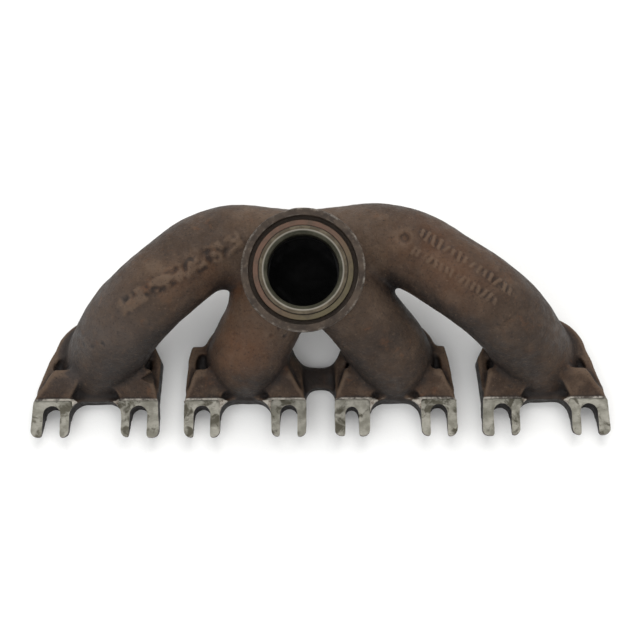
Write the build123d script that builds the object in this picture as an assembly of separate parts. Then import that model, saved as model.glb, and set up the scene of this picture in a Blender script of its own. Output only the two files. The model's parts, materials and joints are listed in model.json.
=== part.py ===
from build123d import *
from math import cos, degrees, radians, sin, tan
import os

# Cast four-cylinder exhaust manifold, in millimetres.
#
# Frame: the plane z = 0 is the face that bolts to the cylinder head, and +Z points away from the head,
# towards the outlet. +X runs along the engine, y = 0 is the line through the four port centres, and the
# stud slots open towards -Y. The origin is half way between ports 2 and 3.

# ---- cylinder head side -------------------------------------------------------------------------
port_count = 4
port_pitch = 90.0
port_bore_r = 18.4
runner_wall = 5.0

# Fork-shaped lugs, two below each port, which slide over studs already in the head. The root gap is
# from the runner's outside to the lug roots, and the root margin is from there to the stud line.
stud_spacing = 52.0
lug_root_gap = 1.3
lug_root_margin = 8.1
slot_width = 10.5
locating_slot_width = 8.3
locating_lug = (3, "left")
lug_thickness = 12.6
lug_width = 21.0
end_lug_extra = 0.8
end_lug_flare = 1.2
lug_tip_margin = 14.2
lug_bevel_height = 9.0
lug_tip_outer_r = 4.0
arch_corner_r = 9.0

# Port flanges: a floor plate, a raised rim and two gussets that run up from the lugs to the neck.
flange_floor = 10.0
flange_hump_margin = 2.8
shoulder_y = 8.5
rim_height = 14.0
rim_width = 5.0
gusset_start_height = 13.8
gusset_slope = 32.0
gusset_depth = 17.0
gusset_inner_x = 5.5
gusset_height = 22.0
neck_length = 25.0

# How far each flange stands out sideways beyond its runner at y = 0, and how much less it does so at
# the shoulder.
flange_overhang = {
    (1, "left"): 5.6,
    (1, "right"): 15.4,
    (2, "left"): 11.2,
    (2, "right"): 8.1,
    (3, "left"): 12.2,
    (3, "right"): 9.0,
    (4, "left"): 16.6,
    (4, "right"): 5.1,
}
shoulder_inset = {
    (1, "left"): 4.9,
    (1, "right"): 4.2,
    (2, "left"): 2.1,
    (2, "right"): 3.5,
    (3, "left"): 3.5,
    (3, "right"): 2.2,
    (4, "left"): 4.2,
    (4, "right"): 4.9,
}

# Low bridge that joins flanges 2 and 3.
bridge_thickness = 8.0
bridge_top_y = -2.5
bridge_depth = 14.0
bridge_corner_r = 6.0

# ---- collector and outlet -----------------------------------------------------------------------
collector_x = -9.3
collector_y = 42.0
collector_z = 50.0
collector_margin = 6.6
crotch_y = 55.5
crotch_z = 54.0
section_reach = 34.0
inner_section_reach = 27.0

outlet_y = 32.2
outlet_height = 90.0
outlet_tilt = 12.0
outlet_bore_r = 20.2
neck_wall = 7.3

# V-band flange: a rim, an annular groove, a raised collar and a bore that takes the seat ring. The
# widths are radial and follow each other outwards from the bore.
seat_width = 5.0
collar_width = 3.1
groove_width = 2.5
rim_land = 4.2
rim_chamfer = 1.0
flange_edge_depth = 4.5
flange_back_depth = 10.5
groove_depth = 4.5
collar_drop = 1.6
seat_depth = 13.0
seat_drop = 1.0
seat_chamfer = 2.2

# ---- runner centre lines ------------------------------------------------------------------------
# Each port bore starts square to the head. An outer runner leans straight from the head face up to the
# crest height, levels out there and turns into the crotch of the collector. An inner runner bends over
# in an elbow and goes straight into the collector. Leans are offsets from the port centre, and turns
# and ends are offsets from the collector axis.
port_straight = 7.5
elbow_margin = 2.0
elbow_turn = {2: 56.0, 3: 60.0}
crest_height = 55.0
outer_lean = {1: (24.5, 19.2), 4: (27.8, 19.8)}
outer_turn = {1: (-50.5, 62.3), 4: (55.0, 62.6)}
inner_end = {2: (-9.4, 39.6, 54.0), 3: (16.2, 37.8, 54.0)}
bend_shares = (0.43, 0.44)

BEYOND = 3 * port_pitch  # longer than any section of the part that a tool block cuts

ALIGN_TOP = (Align.CENTER, Align.CENTER, Align.MAX)
ALIGN_BOTTOM = (Align.CENTER, Align.CENTER, Align.MIN)
SIDES = {"left": -1, "right": 1}
PORTS = range(1, port_count + 1)


def port_x(port):
    """Place of a port centre along the engine."""
    return (port - (port_count + 1) / 2) * port_pitch


runner_r = port_bore_r + runner_wall
flange_reach = {edge: runner_r + overhang for edge, overhang in flange_overhang.items()}
hump_r = runner_r + flange_hump_margin
lug_inner_x = stud_spacing / 2 - lug_width / 2
lug_root_y = -(runner_r + lug_root_gap)
stud_y = lug_root_y - lug_root_margin
lug_tip_y = stud_y - lug_tip_margin
collector_r = runner_r + collector_margin
neck_r = outlet_bore_r + neck_wall
seat_outer_r = outlet_bore_r + seat_width
groove_inner_r = seat_outer_r + collar_width
groove_outer_r = groove_inner_r + groove_width
flange_r = groove_outer_r + rim_land
collector_centre = Vector(collector_x, collector_y, collector_z)
collector_middle = Plane.YZ.offset(collector_x)
crotch = Vector(collector_x, crotch_y, crotch_z)
outlet_plane = Plane(
    origin=(collector_x, outlet_y, outlet_height),
    x_dir=(1, 0, 0),
    z_dir=(0, -sin(radians(outlet_tilt)), cos(radians(outlet_tilt))),
)


def elbow_tangent(port):
    """Length of the elbow's tangents, for an elbow that clears the runner's own radius."""
    return (runner_r + elbow_margin) * tan(radians(elbow_turn[port]) / 2)


def bend_tangents(port, points):
    """Length of the tangents that each bend of a runner takes from its runs."""
    if port not in outer_lean:
        return [elbow_tangent(port)]
    runs = [(after - before).length for before, after in zip(points, points[1:])]
    return [share * min(pair) for share, pair in zip(bend_shares, zip(runs, runs[1:]))]


def runner_path(port):
    """Centre line of a runner, from the head face into the collector."""
    foot = Vector(port_x(port), 0, 0)
    if port in outer_lean:
        towards = 1 if port_x(port) < collector_x else -1
        lean_x, lean_y = outer_lean[port]
        turn_x, turn_y = outer_turn[port]
        lean = foot + Vector(towards * lean_x, lean_y, crest_height)
        points = [foot, lean, Vector(collector_x + turn_x, turn_y, crest_height), crotch]
    else:
        end_x, end_y, end_z = inner_end[port]
        elbow = foot + Vector(0, 0, port_straight + elbow_tangent(port))
        points = [foot, elbow, Vector(collector_x + end_x, end_y, end_z)]
    radii = []
    for index, tangent in enumerate(bend_tangents(port, points)):
        run_in = points[index + 1] - points[index]
        run_out = points[index + 2] - points[index + 1]
        radii.append(tangent / tan(radians(run_in.get_angle(run_out)) / 2))
    return FilletPolyline(*points, radius=radii)


def beyond(solid, plane):
    """The part of a solid on the side that the plane faces."""
    return split(solid, bisect_by=plane, keep=Keep.TOP)


def behind(solid, plane):
    """The part of a solid on the side that the plane faces away from."""
    return split(solid, bisect_by=plane, keep=Keep.BOTTOM)


def straight(edge, radius):
    """Solid round bar along a straight stretch of a centre line."""
    start = Plane(edge @ 0, z_dir=edge % 0)
    return start * Cylinder(radius, edge.length, align=ALIGN_BOTTOM)


def bend(edge, radius):
    """Solid round bar along an arc of a centre line."""
    start = edge @ 0
    arm = start - edge.arc_center
    turn_axis = Axis(edge.arc_center, arm.cross(edge % 0))
    section = Plane(start, z_dir=edge % 0) * Circle(radius)
    return revolve(section, turn_axis, degrees(edge.length / edge.radius))


def tube(port, radius):
    """Solid round bar along a runner's whole centre line, ended square on the head face."""
    path = runner_path(port)
    start = Plane(path @ 0, z_dir=path % 0)
    bar = start * Cylinder(radius, radius, align=ALIGN_TOP)
    for edge in path.edges():
        make = straight if edge.geom_type == GeomType.LINE else bend
        bar += make(edge, radius)
    return beyond(bar, Plane.XY)


def gas_passage(port):
    """Solid of a runner's hollow, which starts as a bore square to the head."""
    port_bore = Pos(port_x(port), 0, 0) * Cylinder(port_bore_r, port_straight, align=ALIGN_BOTTOM)
    return port_bore + beyond(tube(port, port_bore_r), Plane.XY.offset(port_straight))


def collector_section(port):
    """Plane that divides a runner from the collector, facing the collector."""
    path = runner_path(port)
    reach = section_reach if port in outer_lean else inner_section_reach
    place = 1 - reach / path.length
    return Plane(path @ place, z_dir=path % place)


def neck_section(port):
    """Plane that divides a port neck from its runner, facing the runner."""
    path = runner_path(port)
    place = neck_length / path.length
    return Plane(path @ place, z_dir=path % place)


outer_tubes = {port: tube(port, runner_r) for port in PORTS}
passages = {port: gas_passage(port) for port in PORTS}


# ---- port flanges -------------------------------------------------------------------------------
def lug_outer_x(port, at_tip):
    """Distance from the port centre to the outer edge of a lug."""
    outer_x = stud_spacing / 2 + lug_width / 2
    if port in outer_lean:
        outer_x += end_lug_extra
        if at_tip:
            outer_x += end_lug_flare
    return outer_x


def flange_outline(port):
    """Plan outline of a port flange about its port centre."""
    edge = [(-lug_outer_x(port, False), lug_root_y)]
    edge.append((-flange_reach[port, "left"], 0))
    edge.append((-flange_reach[port, "left"] + shoulder_inset[port, "left"], shoulder_y))
    crown = [(flange_reach[port, "right"] - shoulder_inset[port, "right"], shoulder_y)]
    crown.append((flange_reach[port, "right"], 0))
    crown.append((lug_outer_x(port, False), lug_root_y))
    body = make_face(Polyline(*edge, *crown, close=True))
    hump = Circle(hump_r) - Rectangle(2 * hump_r, 2 * hump_r, align=(Align.CENTER, Align.MAX))
    return Sketch() + body + hump


def gusset_plan(port, side):
    """Plan of one gusset: wide at the lug, narrowing towards the neck."""
    sign = SIDES[side]
    corners = [
        (sign * lug_outer_x(port, False), lug_root_y),
        (sign * lug_inner_x, lug_root_y),
        (sign * gusset_inner_x, lug_root_y + gusset_depth),
        (sign * (flange_reach[port, side] - rim_width), lug_root_y + gusset_depth),
    ]
    return make_face(Polyline(*corners, close=True))


def gusset_roof():
    """Solid above the sloping top of the gussets."""
    slope_plane = Plane(
        origin=(0, lug_root_y, gusset_start_height),
        x_dir=(1, 0, 0),
        z_dir=(0, -sin(radians(gusset_slope)), cos(radians(gusset_slope))),
    )
    return slope_plane * Box(BEYOND, BEYOND, BEYOND, align=ALIGN_BOTTOM)


def port_flange(port):
    """Flange of one port with its rim, gussets and the neck that the runner stands on."""
    outline = flange_outline(port)
    floor = extrude(outline, flange_floor)
    inside = offset(outline, -rim_width)
    rim = extrude(outline - inside, rim_height)
    rim -= Pos(0, lug_root_y, 0) * Box(BEYOND, 2 * rim_width, BEYOND)
    gussets = extrude(gusset_plan(port, "left") + gusset_plan(port, "right"), gusset_height)
    gussets -= gusset_roof()
    flange = Pos(port_x(port), 0, 0) * (floor + rim + gussets)
    flange += behind(outer_tubes[port], neck_section(port))
    flange -= beyond(outer_tubes[port], neck_section(port))
    return flange - passages[port]


def bridge(flange_left, flange_right):
    """Low web between two neighbouring flanges, trimmed to their sides."""
    gap = port_pitch - 2 * hump_r
    half_arch = port_pitch / 2 - lug_outer_x(2, False) - bridge_corner_r
    bottom_y = bridge_top_y - bridge_depth
    plan = Pos(0, bridge_top_y) * Rectangle(gap, bridge_depth, align=(Align.CENTER, Align.MAX))
    plan += Pos(0, bottom_y) * Rectangle(gap, bridge_corner_r, align=(Align.CENTER, Align.MAX))
    for side in SIDES.values():
        plan -= Pos(side * half_arch, bottom_y - bridge_corner_r) * Circle(bridge_corner_r)
    plan -= Pos(0, bottom_y) * Rectangle(2 * half_arch, bridge_corner_r, align=(Align.CENTER, Align.MAX))
    slab = extrude(plan, bridge_thickness)
    return slab - flange_left - flange_right


# ---- lugs ---------------------------------------------------------------------------------------
def lug_bevel():
    """Wedge cut from the underside of a lug, from the stud line down to the tips."""
    profile = Polyline(
        (stud_y, 0),
        (lug_tip_y, lug_bevel_height),
        (lug_tip_y, -lug_bevel_height),
        (stud_y, -lug_bevel_height),
        close=True,
    )
    return extrude(Plane.YZ * make_face(profile), BEYOND, both=True)


def stud_lug(port, side):
    """Fork-shaped foot that slides over one stud, with its slot open towards -Y."""
    width = locating_slot_width if (port, side) == locating_lug else slot_width
    inner = lug_inner_x
    corners = [
        (inner - arch_corner_r, lug_root_y),
        (lug_outer_x(port, False), lug_root_y),
        (lug_outer_x(port, True), lug_tip_y),
        (inner, lug_tip_y),
        (inner, lug_root_y - arch_corner_r),
        (inner - arch_corner_r, lug_root_y - arch_corner_r),
    ]
    blank = make_face(Polyline(*corners, close=True))
    blank -= Pos(inner - arch_corner_r, lug_root_y - arch_corner_r) * Circle(arch_corner_r)
    stud = Pos(stud_spacing / 2, stud_y)
    slot = stud * Circle(width / 2)
    slot += stud * Rectangle(width, 2 * lug_tip_margin, align=(Align.CENTER, Align.MAX))
    plan = blank - slot
    tips = plan.vertices().group_by(Axis.Y)[0].sort_by(Axis.X)
    plan = fillet([tips[0], tips[-1]], lug_tip_outer_r)
    foot = extrude(plan, lug_thickness) - lug_bevel()
    if side == "left":
        foot = mirror(foot, Plane.YZ)
    return Pos(port_x(port), 0, 0) * foot


# ---- outlet -------------------------------------------------------------------------------------
def ring(profile):
    """Solid turned about the outlet axis from a list of (radius, height) points."""
    return outlet_plane * revolve(Plane.XZ * make_face(Polyline(*profile, close=True)), Axis.Z)


def outlet_flange():
    """V-band flange with its groove, raised collar and the counterbore for the seat ring."""
    return ring([
        (seat_outer_r, -collar_drop),
        (groove_inner_r, -collar_drop),
        (groove_inner_r, -groove_depth),
        (groove_outer_r, -groove_depth),
        (groove_outer_r, 0),
        (flange_r - rim_chamfer, 0),
        (flange_r, -rim_chamfer),
        (flange_r, -flange_edge_depth),
        (neck_r, -flange_back_depth),
        (neck_r, -seat_depth),
        (seat_outer_r, -seat_depth),
    ])


def outlet_seat_ring():
    """Bored ring that seats in the outlet flange, with a chamfered mouth."""
    return ring([
        (outlet_bore_r + seat_chamfer, -seat_drop),
        (seat_outer_r, -seat_drop),
        (seat_outer_r, -seat_depth),
        (outlet_bore_r, -seat_depth),
        (outlet_bore_r, -seat_drop - seat_chamfer),
    ])


# ---- collector ----------------------------------------------------------------------------------
def collector():
    """Chamber where the four runners meet, with the short neck under the outlet flange.

    Returned as its solid outside and its hollow, which are one piece on the casting; the shell is
    divided at its middle plane into a left and a right half."""
    throat_length = outlet_height - collector_z - seat_depth
    neck_top = outlet_plane.offset(-seat_depth)
    body = Pos(*collector_centre) * Sphere(collector_r) + Pos(*crotch) * Sphere(runner_r)
    body += neck_top * Cylinder(neck_r, throat_length, align=ALIGN_TOP)
    for port in PORTS:
        body += beyond(outer_tubes[port], collector_section(port))
    body = behind(body, neck_top)
    void = Pos(*collector_centre) * Sphere(collector_r - runner_wall)
    void += Pos(*crotch) * Sphere(port_bore_r)
    void += neck_top * Cylinder(outlet_bore_r, throat_length, align=ALIGN_TOP)
    for port in PORTS:
        void += passages[port]
    return body, void


def runner(port, collector_body):
    """Hollow runner from the port neck to its collector section."""
    bar = beyond(behind(outer_tubes[port], collector_section(port)), neck_section(port))
    if port in outer_lean:
        neighbour = port + 1 if port == 1 else port - 1
        bar -= behind(outer_tubes[neighbour], collector_section(neighbour))
    return bar - passages[port] - collector_body


def build():
    """Every sub-part by name."""
    nodes = {}
    for port in PORTS:
        nodes[f"port_flange_{port}"] = port_flange(port)
        for side in SIDES:
            nodes[f"stud_lug_{port}_{side}"] = stud_lug(port, side)
    nodes["flange_bridge"] = bridge(nodes["port_flange_2"], nodes["port_flange_3"])
    body, void = collector()
    for port in PORTS:
        nodes[f"runner_{port}"] = runner(port, body)
    shell = body - void
    nodes["collector_left"] = behind(shell, collector_middle)
    nodes["collector_right"] = beyond(shell, collector_middle)
    nodes["outlet_flange"] = outlet_flange()
    nodes["outlet_seat_ring"] = outlet_seat_ring()
    return nodes


os.makedirs("parts", exist_ok=True)
for name, shape in build().items():
    export_step(shape, f"parts/{name}.step")
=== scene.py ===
import json
import math

import bmesh
import bpy
import numpy as np
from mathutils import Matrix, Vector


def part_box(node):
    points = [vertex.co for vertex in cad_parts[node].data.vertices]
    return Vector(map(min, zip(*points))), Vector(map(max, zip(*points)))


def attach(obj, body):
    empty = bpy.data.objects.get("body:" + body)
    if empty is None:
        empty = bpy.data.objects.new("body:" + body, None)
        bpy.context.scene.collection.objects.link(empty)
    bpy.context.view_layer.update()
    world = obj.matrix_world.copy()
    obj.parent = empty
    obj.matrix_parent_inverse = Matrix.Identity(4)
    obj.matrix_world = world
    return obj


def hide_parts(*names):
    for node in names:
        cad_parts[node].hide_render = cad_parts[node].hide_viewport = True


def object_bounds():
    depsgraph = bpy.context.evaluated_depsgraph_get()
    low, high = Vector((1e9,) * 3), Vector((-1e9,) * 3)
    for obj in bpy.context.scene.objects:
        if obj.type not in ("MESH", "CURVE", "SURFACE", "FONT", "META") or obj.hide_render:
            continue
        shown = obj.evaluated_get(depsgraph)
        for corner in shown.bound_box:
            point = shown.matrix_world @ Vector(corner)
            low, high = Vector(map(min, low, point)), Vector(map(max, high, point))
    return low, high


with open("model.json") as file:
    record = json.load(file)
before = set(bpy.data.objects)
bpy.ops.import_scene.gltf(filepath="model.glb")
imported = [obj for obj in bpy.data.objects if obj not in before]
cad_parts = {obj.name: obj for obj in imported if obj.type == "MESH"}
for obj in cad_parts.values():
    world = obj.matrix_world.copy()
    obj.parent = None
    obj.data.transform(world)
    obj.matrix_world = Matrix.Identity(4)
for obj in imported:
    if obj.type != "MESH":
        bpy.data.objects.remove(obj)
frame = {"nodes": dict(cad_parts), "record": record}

import openvdb
from mathutils import Matrix, Quaternion, Vector, noise

# The casting is one blended skin. The CAD sections are joined in a voxel field, which rounds and
# roughens them as a sand casting is, and the skin is then machined with crisp cuts and divided along
# the CAD's own section planes, so that each CAD node gets one detailed piece.
cad_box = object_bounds()
nodes = frame["nodes"]
MM = 0.001

PORTS = (1, 2, 3, 4)
SIDES = ("left", "right")
LUGS = [f"stud_lug_{port}_{side}" for port in PORTS for side in SIDES]
FLANGES = [f"port_flange_{port}" for port in PORTS]
RUNNERS = [f"runner_{port}" for port in PORTS]
HALVES = sorted(name for name in nodes if name.startswith("collector"))
CAST = [*LUGS, *FLANGES, *RUNNERS, "flange_bridge", *HALVES]

# ---- voxel field --------------------------------------------------------------------------------
VOXEL = 0.8 * MM
MARGIN = 6 * MM
FINE_FILLET = 1.6 * MM
WIDE_FILLET = 7.0 * MM
SKIN_BLUR = 0.75 * MM
BLEND_BLUR = 2.4 * MM
STOCK = 3.0 * MM
HEAD_STOCK_FROM = 1.6 * MM  # height from which the skin is carried straight on down
LUG_STOCK_DEPTH = 2.2 * MM  # depth below the lug faces from which it is carried straight on up
NOISE_GAIN = 2.2
BEYOND = 0.25  # further along the engine than any piece reaches

# Where the wide fillets blend in: the collector's middle and the hole between the inner runners.
COLLECTOR_BLEND_Y = 46 * MM
COLLECTOR_BLEND_Z = 50 * MM
COLLECTOR_BLEND = 0.65
INNER_HOLE = (-0.003, 0.008, 0.022)

# ---- machining ----------------------------------------------------------------------------------
END_MILL_R = 2.4 * MM
MILL_OVERRUN = 0.3 * MM
BORE_DEPTH = 7.5 * MM
SMALLEST_ISLAND = 400
PASSAGE_PROBE = 2.5 * MM


# ---- meshes -------------------------------------------------------------------------------------
def mesh_arrays(obj):
    """Points and triangles of an object's mesh."""
    mesh = obj.data
    mesh.calc_loop_triangles()
    points = np.empty(3 * len(mesh.vertices), np.float32)
    mesh.vertices.foreach_get("co", points)
    corners = np.empty(3 * len(mesh.loop_triangles), np.int32)
    mesh.loop_triangles.foreach_get("vertices", corners)
    return points.reshape(-1, 3), corners.reshape(-1, 3).astype(np.uint32)


def new_object(name, mesh):
    """An object that shows a mesh."""
    obj = bpy.data.objects.new(name, mesh)
    bpy.context.scene.collection.objects.link(obj)
    return obj


def mesh_object(name, points, faces):
    """An object made of points and faces that all have the same number of corners."""
    mesh = bpy.data.meshes.new(name)
    mesh.vertices.add(len(points))
    mesh.vertices.foreach_set("co", np.ascontiguousarray(points, np.float32).ravel())
    mesh.loops.add(faces.size)
    mesh.loops.foreach_set("vertex_index", np.ascontiguousarray(faces, np.int32).ravel())
    mesh.polygons.add(len(faces))
    mesh.polygons.foreach_set("loop_start", np.arange(0, faces.size, faces.shape[1], dtype=np.int32))
    mesh.update(calc_edges=True)
    mesh.validate()
    return new_object(name, mesh)


def discard(obj):
    """Removes a tool object and its mesh."""
    mesh = obj.data
    bpy.data.objects.remove(obj)
    bpy.data.meshes.remove(mesh)


def combine(name, base, tool, operation):
    """A new object: the base cut by a tool or kept within it."""
    made = new_object(name, base.data.copy())
    modifier = made.modifiers.new("cut", "BOOLEAN")
    modifier.operation = operation
    modifier.solver = "MANIFOLD"
    modifier.object = tool
    depsgraph = bpy.context.evaluated_depsgraph_get()
    result = bpy.data.meshes.new_from_object(made.evaluated_get(depsgraph), depsgraph=depsgraph)
    made.modifiers.clear()
    old = made.data
    made.data = result
    bpy.data.meshes.remove(old)
    result.name = name
    result.materials.clear()
    return made


def machine(piece, tool):
    """Replaces a piece with its cut self and uses the tool up."""
    made = combine(piece.name, piece, tool, "DIFFERENCE")
    discard(piece)
    discard(tool)
    return made


def divide(body, cell, name):
    """Takes what lies in a cell off a body. Returns the rest and the new piece."""
    piece = combine(name, body, cell, "INTERSECT")
    rest = combine(body.name, body, cell, "DIFFERENCE")
    discard(body)
    discard(cell)
    return rest, piece


def prism(outline, low, high, name="tool"):
    """A closed straight prism over a plan outline that runs anticlockwise."""
    mesh = bmesh.new()
    floor = [mesh.verts.new((x, y, low)) for x, y in outline]
    roof = [mesh.verts.new((x, y, high)) for x, y in outline]
    mesh.faces.new(reversed(floor))
    mesh.faces.new(roof)
    for index in range(len(outline)):
        after = (index + 1) % len(outline)
        mesh.faces.new((floor[index], floor[after], roof[after], roof[index]))
    bmesh.ops.triangulate(mesh, faces=mesh.faces[:])
    made = bpy.data.meshes.new(name)
    mesh.to_mesh(made)
    mesh.free()
    return new_object(name, made)


def joined(tools, name="tools"):
    """Tools that don't touch, as one object."""
    mesh = bmesh.new()
    for tool in tools:
        mesh.from_mesh(tool.data)
        discard(tool)
    made = bpy.data.meshes.new(name)
    mesh.to_mesh(made)
    mesh.free()
    return new_object(name, made)


def rectangle(x_low, x_high, y_low, y_high):
    """Corners of a plan rectangle, anticlockwise."""
    return [(x_low, y_low), (x_high, y_low), (x_high, y_high), (x_low, y_high)]


def arc(centre, radius, start, end, steps):
    """Points of a plan arc, with its angles in degrees."""
    points = []
    for step in range(steps + 1):
        angle = math.radians(start + (end - start) * step / steps)
        points.append((centre[0] + radius * math.cos(angle), centre[1] + radius * math.sin(angle)))
    return points


def cell(x_low, x_high, y_low, y_high, z_low, z_high, planes=()):
    """A box trimmed to the front of some planes, each a (point, direction) pair."""
    mesh = bmesh.new()
    bmesh.ops.create_cube(mesh, size=1.0)
    size = Vector((x_high - x_low, y_high - y_low, z_high - z_low))
    middle = Vector((x_high + x_low, y_high + y_low, z_high + z_low)) / 2
    placing = Matrix.Translation(middle) @ Matrix.Diagonal((*size, 1))
    bmesh.ops.transform(mesh, matrix=placing, verts=mesh.verts)
    for point, direction in planes:
        everything = mesh.verts[:] + mesh.edges[:] + mesh.faces[:]
        cut = bmesh.ops.bisect_plane(
            mesh, geom=everything, plane_co=point, plane_no=-direction, clear_outer=True
        )
        rim = [part for part in cut["geom_cut"] if isinstance(part, bmesh.types.BMEdge)]
        if rim:
            bmesh.ops.contextual_create(mesh, geom=rim)
    bmesh.ops.recalc_face_normals(mesh, faces=mesh.faces[:])
    bmesh.ops.triangulate(mesh, faces=mesh.faces[:])
    made = bpy.data.meshes.new("cell")
    mesh.to_mesh(made)
    mesh.free()
    return new_object("cell", made)


def end_planes(node, count=2):
    """The largest flat faces of a CAD node, as (point, outward direction) pairs."""
    points, corners = mesh_arrays(nodes[node])
    a, b, c = (points[corners[:, k]].astype(float) for k in range(3))
    cross = np.cross(b - a, c - a)
    area = np.linalg.norm(cross, axis=1) / 2
    sound = area > 1e-12
    a, cross, area = a[sound], cross[sound], area[sound]
    normal = cross / (2 * area[:, None])
    offset = (normal * a).sum(1)
    key = np.round(np.column_stack([normal * 200, offset / (0.05 * MM)])).astype(np.int64)
    _, member = np.unique(key, axis=0, return_inverse=True)
    total = np.bincount(member.ravel(), area)
    planes = []
    for group in np.argsort(total)[::-1][:count]:
        chosen = member.ravel() == group
        direction = Vector(normal[chosen].mean(0)).normalized()
        planes.append((Vector(a[chosen].mean(0)), direction))
    return planes


# ---- what the frame says ------------------------------------------------------------------------
mounts = {mount["name"]: mount for mount in frame["record"]["mounts"]}
port_centre = {port: Vector(mounts[f"port_{port}_bore"]["pos_m"]) for port in PORTS}
port_bore_r = mounts["port_1_bore"]["dims"]["r_mm"] * MM
stud_spacing = mounts["stud_slots"]["dims"]["spacing_x_mm"] * MM
outlet_axis = Vector(mounts["outlet_bore"]["axis"]).normalized()
outlet_bore_r = mounts["outlet_bore"]["dims"]["r_mm"] * MM
lug_root_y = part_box("stud_lug_1_left")[1].y
lug_top_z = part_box("stud_lug_1_left")[1].z
neck_plane = {}
collector_plane = {}
for port, node in zip(PORTS, RUNNERS):
    low_end, high_end = sorted(end_planes(node), key=lambda plane: plane[0].z)
    neck_plane[port] = (low_end[0], -low_end[1])
    collector_plane[port] = high_end


def height_on_axis(point):
    """How far a point lies along the outlet axis."""
    return (Vector(point) - Vector(mounts["outlet_bore"]["pos_m"])).dot(outlet_axis)


flange_points = mesh_arrays(nodes["outlet_flange"])[0]
flange_heights = [height_on_axis(point) for point in flange_points]
outlet_centre = Vector(mounts["outlet_bore"]["pos_m"]) + outlet_axis * max(flange_heights)
seat_depth = max(flange_heights) - min(flange_heights)
neck_r = min(
    (Vector(point) - outlet_centre).cross(outlet_axis).length
    for point, height in zip(flange_points, flange_heights)
    if height < max(flange_heights) - 0.75 * seat_depth
    and (Vector(point) - outlet_centre).cross(outlet_axis).length > outlet_bore_r + 6 * MM
)

# ---- voxel grid over the part -------------------------------------------------------------------
low_index = [int(math.floor((value - MARGIN) / VOXEL)) for value in cad_box[0]]
high_index = [int(math.ceil((value + MARGIN) / VOXEL)) for value in cad_box[1]]
shape = [high - low for low, high in zip(low_index, high_index)]
AXES = [
    np.float32(VOXEL) * (np.arange(count, dtype=np.float32) + low)
    for count, low in zip(shape, low_index)
]
X = AXES[0][:, None, None]
Y = AXES[1][None, :, None]
Z = AXES[2][None, None, :]
transform = openvdb.createLinearTransform(voxelSize=VOXEL)


def level_set(points, triangles=None, quads=None, *, outside, inside):
    """Signed distance near a surface, with its reach on each side in metres."""
    return openvdb.FloatGrid.createLevelSetFromPolygons(
        points,
        triangles=triangles,
        quads=quads,
        transform=transform,
        exBandWidth=outside / VOXEL,
        inBandWidth=inside / VOXEL,
    )


def filled(points, triangles, radius):
    """Distance field of a surface whose hollow corners are filled to a radius."""
    grid = level_set(points, triangles, outside=radius + 4 * VOXEL, inside=3 * VOXEL)
    swollen, _, quads = grid.convertToPolygons(isovalue=radius)
    grid = level_set(swollen, quads=quads, outside=4 * VOXEL, inside=radius + 5 * VOXEL)
    field = np.zeros(shape, np.float32)
    grid.copyToArray(field, ijk=tuple(low_index))
    return field + np.float32(radius)


def blurred(field, sigma):
    """Field smoothed by a bell curve."""
    reach = max(1, int(math.ceil(2.5 * sigma / VOXEL)))
    weights = [math.exp(-0.5 * (step * VOXEL / sigma) ** 2) for step in range(-reach, reach + 1)]
    weights = np.array(weights, np.float32) / np.float32(sum(weights))
    for axis in range(3):
        padding = [(0, 0)] * 3
        padding[axis] = (reach, reach)
        padded = np.pad(field, padding, mode="edge")
        count = field.shape[axis]
        total = 0
        for step, weight in enumerate(weights):
            window = [slice(None)] * 3
            window[axis] = slice(step, step + count)
            total = total + weight * padded[tuple(window)]
        field = total
    return field


def ramp(values, start, end):
    """Smooth step from 0 at start to 1 at end."""
    place = np.clip((values - start) / (end - start), 0, 1)
    return place * place * (3 - 2 * place)


def lattice_noise(spacing, seed):
    """Smooth noise from -1 to 1 over the grid, with features of about a given spacing."""
    random = np.random.RandomState(seed)
    counts = [int(count * VOXEL / spacing) + 5 for count in shape]
    field = random.uniform(-1, 1, counts).astype(np.float32)
    for axis, count in enumerate(shape):
        place = np.arange(count) * VOXEL / spacing
        base = place.astype(int)
        part = (place - base).astype(np.float32)
        spline = (
            (1 - part) ** 3 / 6,
            (3 * part ** 3 - 6 * part ** 2 + 4) / 6,
            (-3 * part ** 3 + 3 * part ** 2 + 3 * part + 1) / 6,
            part ** 3 / 6,
        )
        total = 0
        for step, weight in enumerate(spline):
            broad = [None] * 3
            broad[axis] = slice(None)
            total = total + np.take(field, base + step, axis) * weight[tuple(broad)]
        field = total
    return field * NOISE_GAIN


# ---- the cast blank -----------------------------------------------------------------------------
def outlet_stub():
    """A round bar that carries the outlet neck on above the casting, as points and triangles."""
    steps = 96
    turn = outlet_axis.to_track_quat("Z", "Y").to_matrix()
    points = []
    for height in (-seat_depth - 3 * MM, 2 * MM):
        points.append(outlet_centre + outlet_axis * height)
        for step in range(steps):
            angle = 2 * math.pi * step / steps
            arm = Vector((neck_r * math.cos(angle), neck_r * math.sin(angle), height))
            points.append(outlet_centre + turn @ arm)
    triangles = []
    for step in range(steps):
        low, low_after = 1 + step, 1 + (step + 1) % steps
        high, high_after = low + steps + 1, low_after + steps + 1
        triangles.append((0, low_after, low))
        triangles.append((steps + 1, high, high_after))
        triangles.append((low, low_after, high_after))
        triangles.append((low, high_after, high))
    return np.array(points, np.float32), np.array(triangles, np.uint32)


def merged(surfaces):
    """Several sets of points and triangles as one."""
    all_points, all_triangles, start = [], [], 0
    for points, triangles in surfaces:
        all_points.append(points)
        all_triangles.append(triangles + np.uint32(start))
        start += len(points)
    return np.concatenate(all_points), np.concatenate(all_triangles)


def cast_surface():
    """All the cast CAD sections as one set of points and triangles."""
    return merged([*(mesh_arrays(nodes[name]) for name in CAST), outlet_stub()])


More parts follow.
